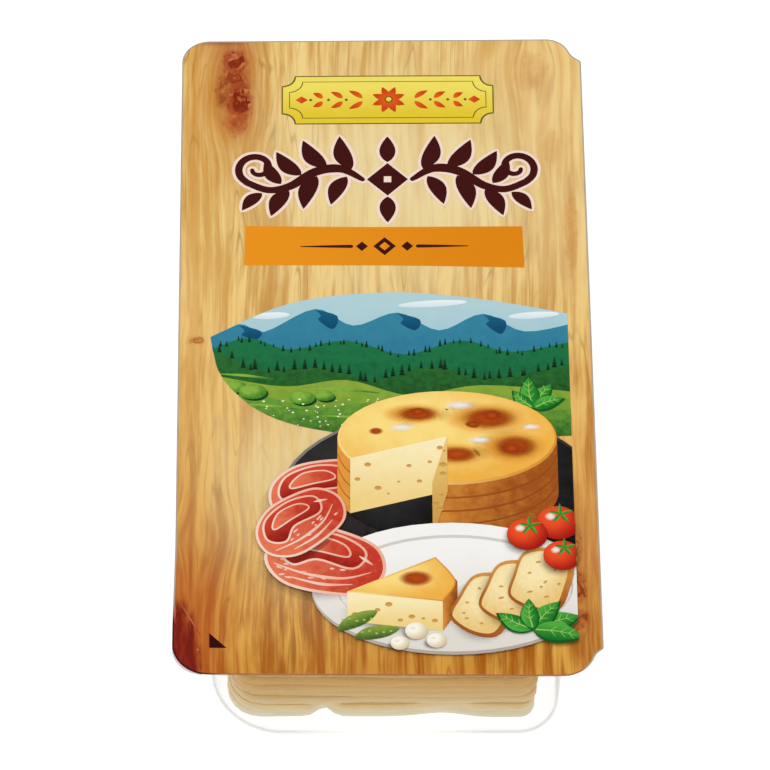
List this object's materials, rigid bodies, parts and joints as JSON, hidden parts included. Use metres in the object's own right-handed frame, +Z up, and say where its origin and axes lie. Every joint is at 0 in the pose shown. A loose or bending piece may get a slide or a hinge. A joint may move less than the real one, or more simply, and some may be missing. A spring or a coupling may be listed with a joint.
{
  "type": "pack of sliced raclette cheese",
  "caption": "Clear formed tray of sliced raclette cheese lying flat, its wide flange sealed with a printed wood-grain film.",
  "frame": {"origin": "under the middle of the pack, on the surface it lies on", "axes": "+Z up through the lid film, +Y along the pack to its far end, +X to its right as seen from the near end"},
  "size_m": [0.1316, 0.2496, 0.0442],
  "materials": {
    "clear_plastic": "clear, glossy formed sheet",
    "printed_film": "satin printed film",
    "cheese": "moist semi-hard cheese with a faint sheen"
  },
  "bodies": {
    "root": {"tray": "clear_plastic", "lid_film": "printed_film", "slice_near_1": "cheese", "slice_near_2": "cheese", "slice_near_3": "cheese", "slice_near_4": "cheese", "slice_near_5": "cheese", "slice_near_6": "cheese", "slice_near_7": "cheese", "slice_near_8": "cheese", "slice_far_1": "cheese", "slice_far_2": "cheese", "slice_far_3": "cheese", "slice_far_4": "cheese", "slice_far_5": "cheese", "slice_far_6": "cheese", "slice_far_7": "cheese", "slice_far_8": "cheese"}
  },
  "joints": []
}
